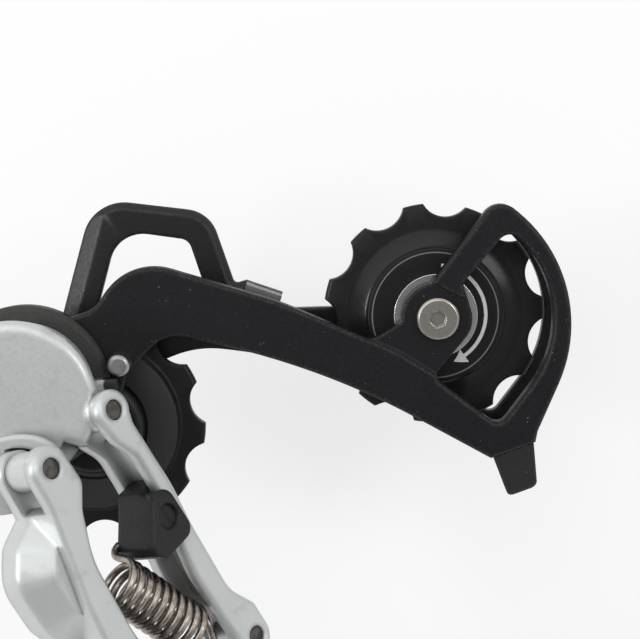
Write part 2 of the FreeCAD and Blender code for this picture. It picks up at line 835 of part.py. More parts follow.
reach = S.link_length
slot_end = reach - S.link_end_slot
bow = S.link_bow
web = S.link_web
outer_line = [
    (reach, S.outer_link_r, 0),
    (reach - 6.0, S.outer_link_r + 0.4, 20),
    (reach - 25.0, bow - 1.0, 14),
    (22.0, bow, 0),
    (8.0, bow, 6),
    (0.0, S.outer_link_r, 0),
]
outer_open = [
    (0.0, -S.outer_link_r, 0),
    (5.5, -S.outer_link_r, 2),
    (10.5, 3.0, 5),
    (19.4, 4.2, 20),
    (35.5, 2.9, 18),
    (reach - 10.0, -1.0, 6),
    (reach - 6.0, -S.outer_link_r, 3),
    (reach, -S.outer_link_r, 0),
]
outer_hollow = [
    (slot_end, S.outer_link_r - web, 0),
    (reach - 25.0, bow - 1.0 - web, 14),
    (22.0, bow - web, 0),
    (8.0, bow - web, 3),
    (S.link_end_slot, S.outer_link_r - web, 0),
    (S.link_end_slot, -2 * bow, 0),
    (slot_end, -2 * bow, 0),
]
outer_bar, outer_tools = link(S.outer_link_r, "outer_link_r", outer_line + outer_open, outer_hollow)
# A fuller lower flank runs along the middle of the outer link, its upper edge sloped
flank = new_body()
flank_edge = [
    (reach - 6.5, S.outer_link_r, 0),
    (reach - 9.0, bow, 5),
    (reach - 14.5, bow + S.link_flank, 9),
    (28.5, bow + S.link_flank, 8),
    (21.0, bow - 0.5, 0),
    (21.0, bow - web, 0),
    (reach - 25.0, bow - 1.0 - web, 0),
]
pad(flank, flank_edge, "link_depth - link_flange", "-link_depth")
doc.recompute()
sloped = level_edges(flank.Shape, -S.link_flange, lambda centre: centre.y > bow - 2.0 and centre.x > 22.0)
bevel_edges(flank, sloped, "link_flank")
cable_hole = cylinder(
    "cable_bolt_r", "link_bow", spot(S.cable_bolt_along, 0, -S.link_depth / 2, ALONG_Y)
)
node(cut(fuse([outer_bar, flank]), outer_tools + [cable_hole]), "outer_link", LINK)
INNER = LINK * spot(0, -S.link_spacing, 0)
inner_line = [
    (0.0, -S.inner_link_r, 0),
    (5.0, -S.inner_link_r, 2),
    (11.0, -0.7, 8),
    (26.0, -1.3, 40),
    (35.0, -2.4, 30),
    (reach - 4.5, -2.4, 3),
    (reach, -S.inner_link_r, 0),
]
inner_open = [
    (reach, S.inner_link_r, 0),
    (reach - 5.0, 3.2, 3),
    (reach - 9.5, 1.0, 6),
    (37.0, 1.2, 20),
    (19.0, 4.4, 20),
    (9.0, 4.4, 6),
    (0.0, S.inner_link_r, 0),
]
inner_hollow = [
    (S.link_end_slot, web - S.inner_link_r, 0),
    (11.0, web - 1.2, 6),
    (20.0, web - 1.7, 0),
    (25.0, S.holder_web - 1.3, 0),
    (35.0, S.holder_web - 2.4, 0),
    (39.5, S.holder_web - 2.4, 0),
    (slot_end, web - 2.8, 0),
    (slot_end, bow, 0),
    (S.link_end_slot, bow, 0),
]
inner_bar, inner_tools = link(S.inner_link_r, "inner_link_r", inner_line + inner_open, inner_hollow)
holder_pin_x = S.holder_from_upper + 2.0
holder_pin_hole = cylinder(
    "holder_pin_r", "2 * link_depth", spot(holder_pin_x, S.holder_pin_aside, -1.5 * S.link_depth)
)
inner_tools.append(holder_pin_hole)
node(cut(inner_bar, inner_tools), "inner_link", INNER)

# Cable clamp on the outer link
clamp_face = S.link_bow
washer = cut(
    cylinder("cable_washer_r", "cable_washer_thick", HERE),
    [cylinder("cable_bolt_r", "cable_washer_thick", HERE)],
)
clamp_spot = LINK * spot(S.cable_bolt_along, clamp_face, -S.link_depth / 2, ALONG_Y)
node(washer, "cable_washer", clamp_spot)
clamp_bolt = fuse(
    [
        cylinder(
            "cable_bolt_r",
            "link_web + cable_washer_thick + cable_bolt_head_high / 2",
            spot(0, 0, -S.link_web),
        ),
        prism(6, "cable_bolt_head_r", "cable_bolt_head_high", spot(0, 0, S.cable_washer_thick)),
    ]
)
node(clamp_bolt, "cable_bolt", clamp_spot)

# Black spring holder: a tongue pinned in the inner link's channel, a tall block and a lip over the near flange
holder_low = -S.link_depth / 2 - S.holder_high / 2
holder_back = S.holder_web + S.holder_side_gap
holder_near = S.holder_from_upper - 3.6
holder_far = holder_near + S.holder_long
holder_edge = [
    (holder_near, S.holder_step, 0),
    (holder_near, S.holder_reach - 1.6, 1.0),
    (holder_near + 1.7, S.holder_reach, 0.8),
    (holder_near + 3.6, S.holder_reach, 1.4),
    (holder_near + 7.4, S.holder_reach - 3.4, 2.0),
    (holder_far, S.holder_step, 0),
]
lip_edge = [
    (holder_near, S.holder_step + 1.0, 0),
    (holder_near, 0.1, 2.4),
    (holder_far - 1.5, 0.1, 2.8),
    (holder_far, S.holder_step + 1.0, 0),
]
holder_block = new_body()
pad(holder_block, holder_edge, "link_depth / 2 + holder_high / 2 + holder_lip")
holder_block.Placement = spot(0, 0, holder_low)
holder_lip = new_body()
pad(holder_lip, lip_edge, "holder_lip - lug_side_gap")
holder_lip.Placement = spot(0, 0, S.lug_side_gap)
tongue_edge = [
    (holder_near, holder_back - 1.3, 0),
    (35.0, holder_back - 2.4, 0),
    (holder_far, holder_back - 2.4, 0),
    (holder_far, S.holder_step, 0),
    (holder_near, S.holder_step, 0),
]
holder_tongue = new_body()
pad(holder_tongue, tongue_edge, "holder_high")
holder_tongue.Placement = spot(0, 0, holder_low)
recess_spot = spot(S.holder_from_upper + 2.2, S.holder_step, S.holder_lip - S.holder_recess_deep)
holder_recess = cylinder("holder_recess_r", "2 * holder_recess_deep", recess_spot)
pinned_tongue = cut(holder_tongue, [holder_pin_hole])
node(cut(fuse([holder_block, holder_lip, pinned_tongue]), [holder_recess]), "spring_holder", INNER)
node(
    cylinder("holder_pin_r", "link_depth - 2 * pin_sunk", HERE),
    "holder_pin",
    INNER * spot(holder_pin_x, S.holder_pin_aside, -S.link_depth + S.pin_sunk),
)
spring_seat = Vector(S.return_spring_from, S.link_spacing - S.return_spring_aside, -S.link_depth / 2)
spring_lean = Rotation(Z_AXIS, S.return_spring_lean) * ALONG_MINUS_X
return_spring = spring(
    S.return_spring_r,
    S.return_spring_wire,
    S.return_spring_pitch,
    S.return_spring_turns,
    6,
    HERE,
)
node(return_spring, "return_spring", INNER * Placement(spring_seat, spring_lean))

# Pivot pins, tight in the knuckles and running in the links
for label, x, y in (
    ("upper_outer_pin", 0, 0),
    ("upper_inner_pin", 0, -S.link_spacing),
    ("lower_outer_pin", S.link_length, 0),
    ("lower_inner_pin", S.link_length, -S.link_spacing),
):
    node(
        cylinder("pin_r", "link_depth - 2 * pin_sunk", HERE),
        label,
        LINK * spot(x, y, -S.link_depth + S.pin_sunk),
    )

lug_tall = "link_depth - 2 * link_flange - 2 * lug_side_gap"
lug_low = -S.link_depth + S.link_flange + S.lug_side_gap


def lugs_and_room(x, way):
    """Lugs between the ears of both links at one end, and the room the ears and links sweep there."""
    lugs = []
    room = []
    bores = []
    for y, radius_rule, radius in (
        (0, "outer_link_r", S.outer_link_r),
        (-S.link_spacing, "inner_link_r", S.inner_link_r),
    ):
        lugs.append(cylinder("lug_r", lug_tall, LINK * spot(x, y, lug_low)))
        bores.append(cylinder("pin_r", "2 * link_depth", LINK * spot(x, y, -1.5 * S.link_depth)))
        for low, tall in (
            (-S.link_depth - S.swing_gap, "link_flange + lug_side_gap + swing_gap"),
            (-S.link_flange - S.lug_side_gap, "link_flange + lug_side_gap + 6"),
        ):
            room.append(cylinder(radius_rule + " + swing_gap", tall, LINK * spot(x, y, low)))
        for share in (0.0, 0.5, 1.0):
            turn = Rotation(Z_AXIS, (180 if way < 0 else 0) - share * S.link_swing)
            for low, tall, ahead in (
                (-S.link_depth - S.swing_gap, "link_flange + lug_side_gap + swing_gap", 0),
                (-S.link_flange - S.lug_side_gap, "link_flange + lug_side_gap + 6", 0),
                (-S.link_depth, "link_depth", S.link_end_slot - S.swing_gap),
            ):
                strip = box("26", "2 * " + radius_rule + " + 2 * swing_gap", tall, HERE)
                strip.Placement = (
                    LINK * Placement(Vector(x, y, low), turn) * spot(ahead, -radius - S.swing_gap, 0)
                )
                room.append(strip)
    return lugs, room, bores


# Lower knuckle: round housing over the cage pivot, a post for the outer link, a side lug for the inner one
housing = turned_body(
    [
        ("0", bore_top),
        ("axle_r + run_gap", bore_top),
        ("axle_r + run_gap", bore_low),
        ("lower_spring_room_r", bore_low),
        ("lower_spring_room_r", knuckle_foot),
        ("lower_foot_r", knuckle_foot),
        ("lower_r", knuckle_foot + " + lower_tall - lower_round"),
        ("lower_r - lower_round * 0.134", knuckle_foot + " + lower_tall - lower_round * 0.5"),
        ("lower_r - lower_round * 0.5", knuckle_foot + " + lower_tall - lower_round * 0.134"),
        ("lower_r - lower_round", knuckle_foot + " + lower_tall"),
        ("0", knuckle_foot + " + lower_tall"),
    ]
)
housing.Placement = LOWER
post_level = LOWER.Base.z + foot + S.lower_tall + S.lower_post_rise
post_wall = cylinder(
    "outer_link_r + swing_gap + lower_post_wall",
    "lower_post_deep",
    LINK * spot(S.link_length, 0, -S.lower_post_deep),
)
arm_bar = box("lower_arm_long", "2 * lug_r", lug_tall, LINK * spot(S.link_length, -S.lug_r, lug_low))
above_spot = spot(lower_pin.x - 2 * S.lower_r, lower_pin.y - 2 * S.lower_r, post_level)
above = box("4 * lower_r", "4 * lower_r", "4 * lower_r", above_spot)
post = cut(post_wall, [above])
arm = cut(arm_bar, [above])
stop_half = math.degrees((S.stop_pin_r + S.stop_lug_wide / 2 + S.stop_gap) / (S.lower_r + S.stop_pin_out))
lug_turn = Rotation(Z_AXIS, S.stop_pin_turn - stop_half)
stop_lug = box(
    "lower_r + stop_pin_out - 0.8 - lower_spring_room_r - 1",
    "stop_lug_wide",
    "stop_lug_high",
    LOWER * Placement(Vector(0, 0, foot), lug_turn) * spot(S.lower_spring_room_r + 1, -S.stop_lug_wide / 2, 0),
)
lower_lugs, lower_room, lower_bores = lugs_and_room(S.link_length, -1)
retainer_z = foot + S.lower_spring_room_tall + S.lower_bore_tall / 2
RETAINER = LOWER * Placement(Vector(0, 0, retainer_z), Rotation(Z_AXIS, -40)) * Placement(Vector(), ALONG_X)
retainer_hole = cylinder("retainer_r", "lower_r", RETAINER * spot(0, 0, S.axle_groove_r + 2 * S.run_gap))
lower_shell = cut(fuse([housing, post, stop_lug]), lower_room)
lower_solid = fuse([lower_shell, arm] + lower_lugs)
node(cut(lower_solid, lower_bores + [retainer_hole]), "lower_knuckle")
node(
    cylinder("retainer_r", "lower_r - axle_groove_r - 2 * run_gap - 0.8", HERE),
    "axle_retainer",
    RETAINER * spot(0, 0, S.axle_groove_r + 2 * S.run_gap),
)
node(
    turned_body(
        [
            ("lower_r + seal_over - seal_wide", top_out + " + seal_gap"),
            ("lower_r + seal_over", top_out + " + seal_gap"),
            ("lower_r + seal_over", top_out + " + seal_gap + seal_high * 0.6"),
            ("lower_r + seal_over - 0.8", top_out + " + seal_gap + seal_high"),
            ("lower_r + seal_over - seal_wide", top_out + " + seal_gap + seal_high"),
        ]
    ),
    "seal_ring",
    LOWER,
)
lower_coil_tall = S.lower_spring_turns * S.lower_spring_pitch + S.lower_spring_wire
lower_coil_foot = foot + S.lower_spring_room_tall - lower_coil_tall - 0.1
node(
    spring(S.lower_spring_r, S.lower_spring_wire, S.lower_spring_pitch, S.lower_spring_turns, 4, HERE),
    "lower_spring",
    LOWER * spot(0, 0, lower_coil_foot),
)

# Mounting bolt and stop plate, fixed on the hanger
upper_foot = "stop_plate_thick + dust_ring_high"
upper_top = upper_foot + " + upper_tall"
head_seat = upper_top + " + upper_head_gap"
shaft = turned_body(
    [
        ("0", "-hanger_thread_long"),
        ("hanger_thread_r - 0.8", "-hanger_thread_long"),
        ("hanger_thread_r", "-hanger_thread_long + 0.8"),
        ("hanger_thread_r", "0"),
        ("bolt_shoulder_r", "0"),
        ("bolt_shoulder_r", head_seat),
        ("bolt_head_r", head_seat),
        ("bolt_head_r", head_seat + " + bolt_head_high - 0.8"),
        ("bolt_head_r - 0.8", head_seat + " + bolt_head_high"),
        ("0", head_seat + " + bolt_head_high"),
    ]
)
bolt_top = S.stop_plate_thick + S.dust_ring_high + S.upper_tall + S.upper_head_gap + S.bolt_head_high
bolt_socket = prism(6, "bolt_hex_r", "bolt_head_high", spot(0, 0, bolt_top - S.bolt_hex_deep))
node(cut(shaft, [bolt_socket]), "mounting_bolt")
tab_back = S.angle_screw_reach + 3.0
plate_parts = [
    cylinder("stop_plate_r", "stop_plate_thick", HERE),
    box("angle_screw_reach", "stop_tab_thick", "stop_plate_thick", spot(-tab_back, -S.stop_tab_thick / 2, 0)),
    box("6", "stop_tab_thick", "stop_tab_high", spot(-tab_back, -S.stop_tab_thick / 2, 0)),
]
node(cut(fuse(plate_parts), [cylinder("bolt_shoulder_r", "stop_plate_thick", HERE)]), "stop_plate")
node(
    turned_body(
        [
            ("upper_r - dust_ring_wide", "stop_plate_thick"),
            ("upper_r", "stop_plate_thick"),
            ("upper_r", upper_foot),
            ("upper_r - dust_ring_wide", upper_foot),
        ]
    ),
    "dust_ring",
)

# Upper knuckle: boss round the bolt, block with the pin lugs, cable inlet, angle-screw ear
foot_z = S.stop_plate_thick + S.dust_ring_high
boss = turned_body(
    [
        ("0", upper_foot),
        ("upper_r", upper_foot),
        ("upper_r", upper_top + " - 1.2"),
        ("upper_r - 1.2", upper_top),
        ("0", upper_top),
    ]
)
block = box(
    "block_long",
    "link_spacing + 2 * lug_r",
    "link_depth",
    LINK * spot(-S.block_back - S.block_long, -S.link_spacing - S.lug_r, -S.link_depth),
)
arms = [
    box("upper_arm_long", "2 * lug_r", lug_tall, LINK * spot(-S.upper_arm_long, y - S.lug_r, lug_low))
    for y in (0, -S.link_spacing)
]
screw_y = -S.stop_tab_thick / 2 - 0.1 - S.angle_screw_long
screw_z = foot_z + 3.1
ANGLE = spot(-S.angle_screw_reach, screw_y, screw_z, ALONG_MINUS_Y)
angle_ear = box(
    "angle_screw_reach + 0.5",
    "angle_ear_wide",
    "angle_ear_high",
    spot(-S.angle_screw_reach - 3.5, screw_y + 0.3, foot_z),
)
inlet = cylinder("inlet_boss_r", "inlet_boss_end - 3", spot(-3, S.inlet_up, S.inlet_out, ALONG_MINUS_X))
BARREL = spot(-S.inlet_boss_end, S.inlet_up, S.inlet_out, ALONG_MINUS_X)
upper_lugs, upper_room, upper_bores = lugs_and_room(0, 1)
hanger_room = cylinder("upper_r + 4", "stop_plate_thick + dust_ring_high + 20", spot(0, 0, -20))
limit_spots = [
    LINK * spot(-S.block_back - 4.6, S.lug_r, z, ALONG_Y) for z in (-S.link_depth / 2 + 2.9, -S.link_depth / 2 - 2.9)
]
upper_shell = cut(fuse([boss, block, inlet, angle_ear]), upper_room)
upper_solid = fuse([upper_shell] + arms + upper_lugs)
upper_tools = upper_bores + [
    hanger_room,
    cylinder("bolt_shoulder_r + run_gap", "2 * upper_tall", spot(0, 0, foot_z - 1)),
    cylinder("upper_spring_room_r", "upper_spring_room_tall", spot(0, 0, foot_z)),
    cylinder("barrel_shank_r + run_gap", "barrel_shank_long + 0.3", BARREL * spot(0, 0, -S.barrel_shank_long - 0.3)),
    cylinder("cable_hole_r", "40", BARREL * spot(0, 0, -40)),
    cylinder("screw_r", "angle_screw_long", ANGLE * spot(0, 0, -S.angle_screw_long)),
]
for where in limit_spots:
    upper_tools.append(cylinder("screw_r", "limit_screw_long", where * spot(0, 0, -S.limit_screw_long)))
    upper_tools.append(cylinder("screw_head_r + swing_gap", "4 * screw_head_high", where))
node(cut(upper_solid, upper_tools), "upper_knuckle")
upper_coil_tall = S.upper_spring_turns * S.upper_spring_pitch + S.upper_spring_wire
node(
    spring(S.upper_spring_r, S.upper_spring_wire, S.upper_spring_pitch, S.upper_spring_turns, 4, HERE),
    "upper_spring",
    spot(0, 0, foot_z + S.upper_spring_room_tall - upper_coil_tall - 0.1),
)


# Small slotted screws and the barrel adjuster
def screw(label, length_rule, length, where):
    solid = fuse(
        [
            cylinder("screw_r", length_rule, spot(0, 0, -length)),
            cylinder("screw_head_r", "screw_head_high", HERE),
        ]
    )
    slot = box(
        "3 * screw_head_r",
        "screw_slot_wide",
        "screw_head_high",
        spot(-1.5 * S.screw_head_r, -S.screw_slot_wide / 2, S.screw_head_high / 2),
    )
    node(cut(solid, [slot]), label, where)


screw("limit_screw_high", "limit_screw_long", S.limit_screw_long, limit_spots[0])
screw("limit_screw_low", "limit_screw_long", S.limit_screw_long, limit_spots[1])
screw("angle_screw", "angle_screw_long", S.angle_screw_long, ANGLE)
barrel = turned_body(
    [
        ("cable_hole_r", "-barrel_shank_long"),
        ("barrel_shank_r", "-barrel_shank_long"),
        ("barrel_shank_r", "0.1"),
        ("barrel_r - 0.6", "0.1"),
        ("barrel_r", "0.7"),
        ("barrel_r", "barrel_long - 1.6"),
        ("barrel_r - 1.2", "barrel_long"),
        ("barrel_bore_r", "barrel_long"),
        ("barrel_bore_r", "barrel_long - barrel_bore_deep"),
        ("cable_hole_r", "barrel_long - barrel_bore_deep"),
    ]
)
grooves = []
for i in range(int(S.barrel_grooves)):
    turn = Rotation(Z_AXIS, 360.0 * i / S.barrel_grooves)
    grooves.append(
        cylinder("barrel_groove_r", "2 * barrel_long", Placement(Vector(), turn) * spot(S.barrel_r + 0.2, 0, -0.5))
    )
node(cut(barrel, grooves), "barrel_adjuster", BARREL)

doc.recompute()
for thing in doc.Objects:
    if "Invalid" in thing.State or "Error" in thing.State:
        raise RuntimeError("%s (%s) is not built: %s" % (thing.Name, thing.Label, thing.State))
os.makedirs("parts", exist_ok=True)
for thing in nodes:
    if thing.Shape.isNull() or not thing.Shape.isValid():
        raise RuntimeError("%s has no sound shape" % thing.Label)
    thing.Shape.exportStep(os.path.join("parts", thing.Label + ".step"))
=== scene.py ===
import json
import math

import bmesh
import bpy
from mathutils import Matrix, Vector


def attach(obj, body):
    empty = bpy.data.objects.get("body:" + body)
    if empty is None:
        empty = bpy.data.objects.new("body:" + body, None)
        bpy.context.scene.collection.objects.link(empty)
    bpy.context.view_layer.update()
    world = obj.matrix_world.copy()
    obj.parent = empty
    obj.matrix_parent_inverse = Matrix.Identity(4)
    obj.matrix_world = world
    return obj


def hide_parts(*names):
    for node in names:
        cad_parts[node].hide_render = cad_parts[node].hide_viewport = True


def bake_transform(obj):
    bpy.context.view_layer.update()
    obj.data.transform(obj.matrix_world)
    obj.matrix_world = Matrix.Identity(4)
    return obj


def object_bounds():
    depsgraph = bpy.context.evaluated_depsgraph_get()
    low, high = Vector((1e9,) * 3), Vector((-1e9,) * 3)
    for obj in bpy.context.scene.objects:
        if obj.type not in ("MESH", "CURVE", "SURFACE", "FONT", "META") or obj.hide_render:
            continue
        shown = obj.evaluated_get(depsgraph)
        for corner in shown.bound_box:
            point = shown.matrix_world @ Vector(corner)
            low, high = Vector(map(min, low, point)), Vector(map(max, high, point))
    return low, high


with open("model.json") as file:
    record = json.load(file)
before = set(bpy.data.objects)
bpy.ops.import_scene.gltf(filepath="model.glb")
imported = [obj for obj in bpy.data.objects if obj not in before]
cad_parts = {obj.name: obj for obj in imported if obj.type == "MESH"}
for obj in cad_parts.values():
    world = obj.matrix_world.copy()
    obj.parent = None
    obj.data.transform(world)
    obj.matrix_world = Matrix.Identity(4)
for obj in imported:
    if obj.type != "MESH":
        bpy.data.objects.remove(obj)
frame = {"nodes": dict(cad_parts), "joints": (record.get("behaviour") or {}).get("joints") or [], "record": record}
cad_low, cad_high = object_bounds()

NODES = frame["nodes"]
SLOT_OF = {row["node"]: row["material_slot"] for row in frame["record"]["subparts"]}
MM = 0.001
MERGE_MM = 0.002


class Nodes:
    """Short ways to add to a node tree."""

    def __init__(self, tree):
        self.tree = tree

    def add(self, kind, **settings):
        made = self.tree.nodes.new(kind)
        for key, value in settings.items():
            setattr(made, key, value)
        return made

    def join(self, source, target):
        self.tree.links.new(source, target)

    def feed(self, target, value):
        if isinstance(value, bpy.types.NodeSocket):
            self.join(value, target)
        else:
            target.default_value = value

    def math(self, operation, a, b=0.0):
        made = self.add("ShaderNodeMath", operation=operation)
        self.feed(made.inputs[0], a)
        self.feed(made.inputs[1], b)
        return made.outputs[0]

    def times(self, a, b):
        return self.math("MULTIPLY", a, b)

    def ramp(self, value, low, high, to_low=0.0, to_high=1.0, ease="LINEAR"):
        made = self.add("ShaderNodeMapRange", interpolation_type=ease)
        self.join(value, made.inputs["Value"])
        for key, number in (("From Min", low), ("From Max", high), ("To Min", to_low), ("To Max", to_high)):
            self.feed(made.inputs[key], number)
        return made.outputs["Result"]

    def any_ray(self, *kinds):
        """1 for these kinds of ray, 0 for all others."""
        path = self.add("ShaderNodeLightPath")
        seen = path.outputs[kinds[0]]
        for kind in kinds[1:]:
            seen = self.math("MAXIMUM", seen, path.outputs[kind])
        return seen


class Look(Nodes):
    """A material whose colour, roughness and bump are built from nodes."""

    def __init__(self, name, colour, roughness, metallic=0.0):
        self.mat = bpy.data.materials.new(name)
        self.mat.use_nodes = True
        super().__init__(self.mat.node_tree)
        self.bsdf = self.tree.nodes["Principled BSDF"]
        self.bsdf.inputs["Base Color"].default_value = (*colour, 1)
        self.bsdf.inputs["Roughness"].default_value = roughness
        self.bsdf.inputs["Metallic"].default_value = metallic
        self.place = self.add("ShaderNodeTexCoord").outputs["Object"]

    # Patterns
    def noise(self, size_mm, detail=2.0):
        made = self.add("ShaderNodeTexNoise")
        self.join(self.place, made.inputs["Vector"])
        made.inputs["Scale"].default_value = 1.0 / (size_mm * MM)
        made.inputs["Detail"].default_value = detail
        return made.outputs["Fac"]

    def cells(self, size_mm):
        made = self.add("ShaderNodeTexVoronoi")
        self.join(self.place, made.inputs["Vector"])
        made.inputs["Scale"].default_value = 1.0 / (size_mm * MM)
        return made.outputs["Distance"]

    def spread(self, value, low, high, to_low=0.0, to_high=1.0):
        return self.ramp(value, low, high, to_low, to_high, "SMOOTHSTEP")

    def mix(self, share, a, b):
        made = self.add("ShaderNodeMix", data_type="RGBA")
        self.feed(made.inputs["Factor"], share)
        for key, colour in (("A", a), ("B", b)):
            socket = next(s for s in made.inputs if s.name == key and s.type == "RGBA")
            self.feed(socket, colour if isinstance(colour, bpy.types.NodeSocket) else (*colour, 1))
        return next(s for s in made.outputs if s.type == "RGBA")

    def stain(self, tone, mask, strength, colour):
        """The tone with a colour laid over it where the mask is 1."""
        return self.mix(self.times(mask, strength), tone, colour)

    def hollow(self, reach_mm):
        """Near 1 in corners and crevices, 0 on open faces."""
        made = self.add("ShaderNodeAmbientOcclusion", samples=6)
        made.inputs["Distance"].default_value = reach_mm * MM
        return self.math("SUBTRACT", 1.0, made.outputs["AO"])

    def edge(self, radius_mm):
        """Near 1 on convex and concave edges, 0 on faces."""
        soft = self.add("ShaderNodeBevel", samples=4)
        soft.inputs["Radius"].default_value = radius_mm * MM
        plain = self.add("ShaderNodeNewGeometry")
        dot = self.add("ShaderNodeVectorMath", operation="DOT_PRODUCT")
        self.join(soft.outputs["Normal"], dot.inputs[0])
        self.join(plain.outputs["Normal"], dot.inputs[1])
        return self.spread(dot.outputs["Value"], 0.995, 0.9)

    # Places, in millimetres
    def height(self):
        """Height along Z."""
        parts = self.add("ShaderNodeSeparateXYZ")
        self.join(self.place, parts.inputs["Vector"])
        return self.math("DIVIDE", parts.outputs["Z"], MM)

    def near(self, point, inner_mm, outer_mm):
        """1 within the inner distance of a point, 0 beyond the outer one."""
        gap = self.add("ShaderNodeVectorMath", operation="DISTANCE")
        self.join(self.place, gap.inputs[0])
        gap.inputs[1].default_value = point
        return self.spread(self.math("DIVIDE", gap.outputs["Value"], MM), outer_mm, inner_mm)

    def radius_from(self, centre):
        """Distance from an axis along Z through centre."""
        flat = self.add("ShaderNodeVectorMath", operation="MULTIPLY")
        self.join(self.place, flat.inputs[0])
        flat.inputs[1].default_value = (1, 1, 0)
        gap = self.add("ShaderNodeVectorMath", operation="DISTANCE")
        self.join(flat.outputs["Vector"], gap.inputs[0])
        gap.inputs[1].default_value = (centre[0], centre[1], 0)
        return self.math("DIVIDE", gap.outputs["Value"], MM)

    def ring(self, reach, inner, outer, soft=0.1):
        """1 between two radii, 0 outside them."""
        return self.times(
            self.spread(reach, inner - soft, inner + soft),
            self.spread(reach, outer + soft, outer - soft),
        )

    def turn_about(self, centre):
        """Angle in degrees about an axis along Z, zero towards -X, and 1 on the outboard half."""
        gap = self.add("ShaderNodeVectorMath", operation="SUBTRACT")
        gap.inputs[0].default_value = centre
        self.join(self.place, gap.inputs[1])
        parts = self.add("ShaderNodeSeparateXYZ")
        self.join(gap.outputs["Vector"], parts.inputs["Vector"])
        angle = self.math("DEGREES", self.math("ARCTAN2", parts.outputs["Y"], parts.outputs["X"]))
        return angle, self.math("LESS_THAN", parts.outputs["Z"], 0.0)

    def arrow(self, centre, radius, line, head_from, head_to, tail):
        """1 on a curved arrow about centre: sizes in millimetres, angles in degrees."""
        head_half = 2.2 * line
        angle, outboard = self.turn_about(centre)
        aside = self.math("ABSOLUTE", self.math("SUBTRACT", self.radius_from(centre), radius))
        shaft = self.math("LESS_THAN", aside, line / 2)
        shaft = self.times(shaft, self.math("GREATER_THAN", angle, head_to))
        shaft = self.times(shaft, self.math("LESS_THAN", angle, tail))
        flare = self.times(self.math("SUBTRACT", angle, head_from), head_half / (head_to - head_from))
        head = self.times(self.math("LESS_THAN", aside, flare), self.math("LESS_THAN", angle, head_to))
        return self.times(self.math("MAXIMUM", shaft, head), outboard)

    # What the shader gets
    def colour(self, value):
        self.join(value, self.bsdf.inputs["Base Color"])

    def roughness(self, value):
        self.join(value, self.bsdf.inputs["Roughness"])

    def mottle(self, low, high, size_mm=0.5):
        """Roughness that wanders between two values."""
        self.roughness(self.spread(self.noise(size_mm, 3.0), 0.3, 0.7, low, high))

    def gloss(self, level):
        self.bsdf.inputs["Specular IOR Level"].default_value = level

    def coat(self, weight, roughness):
        self.bsdf.inputs["Coat Weight"].default_value = weight
        self.bsdf.inputs["Coat Roughness"].default_value = roughness

    def bump(self, height, depth_mm, strength=1.0, soften_mm=0.0):
        """Bump from a height, over normals that are rounded across edges by soften_mm."""
        made = self.add("ShaderNodeBump")
        if soften_mm:
            soft = self.add("ShaderNodeBevel", samples=6)
            soft.inputs["Radius"].default_value = soften_mm * MM
            self.join(soft.outputs["Normal"], made.inputs["Normal"])
        made.inputs["Strength"].default_value = strength
        made.inputs["Distance"].default_value = depth_mm * MM
        self.join(height, made.inputs["Height"])
        self.join(made.outputs["Normal"], self.bsdf.inputs["Normal"])


# Materials
PAINT_LOW = (0.0034, 0.0033, 0.0046)
PAINT_HIGH = (0.0062, 0.0060, 0.0078)
PAINT_GRAIN = (0.0135, 0.013, 0.0155)
PAINT_SPECK = (0.42, 0.43, 0.45)
PAINT_WEAR_AND_HIGHLIGHT = (0.12, 0.12, 0.125)
GUARD_LOW = (0.10, 0.105, 0.105)
GUARD_HIGH = (0.15, 0.155, 0.155)


def black_plate(name, gloss, rough, guard_from=None):
    """Black painted metal with lighter edges, partly wear and partly a painted highlight; what stands above
    guard_from is a grey moulded guard.
    """
    look = Look(name, (0.010, 0.010, 0.012), rough)
    look.gloss(gloss)
    tone = look.mix(look.noise(7.0, 3.0), PAINT_LOW, PAINT_HIGH)
    tone = look.mix(look.spread(look.noise(0.32), 0.45, 0.75, 0.0, 0.55), tone, PAINT_GRAIN)
    specks = look.times(look.spread(look.cells(1.1), 0.13, 0.06), look.spread(look.noise(3.6, 3.0), 0.56, 0.68))
    tone = look.stain(tone, specks, 0.5, PAINT_SPECK)
    # Lighter edges: partly worn paint, partly a painted highlight along the edges
    wear_and_highlight = look.times(look.edge(0.8), look.spread(look.noise(0.5, 4.0), 0.36, 0.68))
    tone = look.stain(tone, wear_and_highlight, 0.45, PAINT_WEAR_AND_HIGHLIGHT)
    if guard_from is not None:
        guard = look.spread(look.height(), guard_from, guard_from + 0.2)
        tone = look.mix(guard, tone, look.mix(look.noise(0.8, 3.0), GUARD_LOW, GUARD_HIGH))
    look.colour(tone)
    look.mottle(rough - 0.06, rough + 0.08)
    look.bump(look.noise(0.22), 0.03, 0.5, 1.0)
    return look.mat


SILVER_LOW = (0.515, 0.540, 0.536)
SILVER_HIGH = (0.598, 0.620, 0.613)
SILVER_FLAKE = (0.66, 0.67, 0.67)
CORNER_SHADE = (0.10, 0.093, 0.082)
GREASE_AND_SHADE = (0.036, 0.031, 0.025)
SMEAR = (0.20, 0.185, 0.16)
LUG_SHADE = (0.02, 0.02, 0.021)


